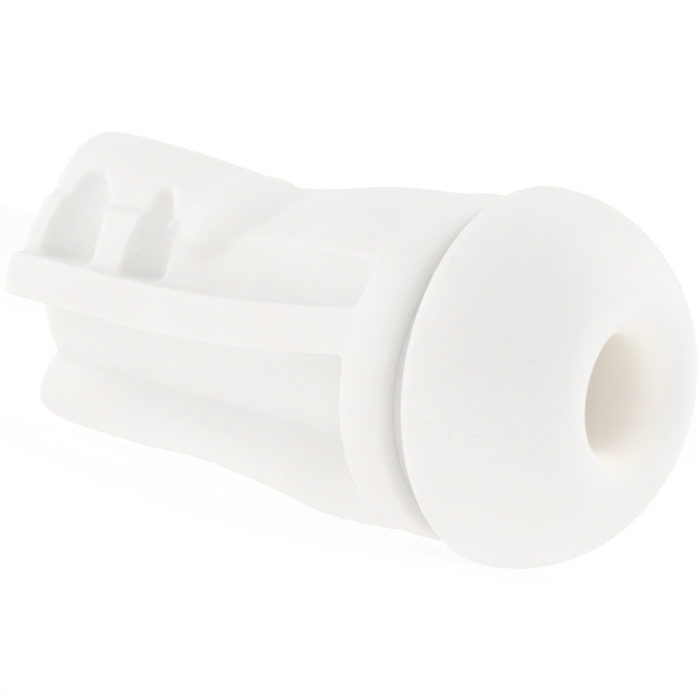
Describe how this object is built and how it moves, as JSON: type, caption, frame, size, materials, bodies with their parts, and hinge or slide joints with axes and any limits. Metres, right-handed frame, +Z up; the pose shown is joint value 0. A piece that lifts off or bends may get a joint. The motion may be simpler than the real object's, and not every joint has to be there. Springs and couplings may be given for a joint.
{
  "type": "finned elastomer sleeve",
  "caption": "Soft moulded sleeve insert: domed head with a round mouth on a flexing neck, collar, and ribbed and finned body with a through bore.",
  "frame": {"origin": "middle of the bounding box in X and Y, at its lowest point, with the part lying on its keel", "axes": "+X along the bore from the tail to the domed head, +Z up from the keel to the top lobe, +Y towards the back rail"},
  "size_m": [0.142, 0.076, 0.0759],
  "materials": {
    "body_elastomer": "matte white soft elastomer, faintly translucent, fine mould texture",
    "bore_elastomer": "matte warm white soft elastomer",
    "neck_elastomer": "matte white soft elastomer with a faint gloss",
    "head_elastomer": "satin white soft elastomer"
  },
  "bodies": {
    "sleeve": {"core_tube": "bore_elastomer", "collar": "body_elastomer", "top_lobe": "body_elastomer", "saddle": "body_elastomer", "keel": "body_elastomer", "front_rail": "body_elastomer", "front_tail_rib": "body_elastomer", "front_middle_rib": "body_elastomer", "front_boss": "body_elastomer", "front_shelf": "body_elastomer", "back_rail": "body_elastomer", "back_tail_rib": "body_elastomer", "back_middle_rib": "body_elastomer", "back_boss": "body_elastomer", "back_shelf": "body_elastomer", "neck_band": "neck_elastomer"},
    "head": {"domed_head": "head_elastomer"}
  },
  "joints": [
    {"name": "neck_bend", "type": "hinge", "parent": "sleeve", "child": "head", "pos_m": [0.0379, 0, 0.0372], "axis": [0, -1, 0], "range_deg": [-9.5, 3.5], "stiffness_Nm_per_rad": 4, "deforming": ["neck_band"]}
  ]
}
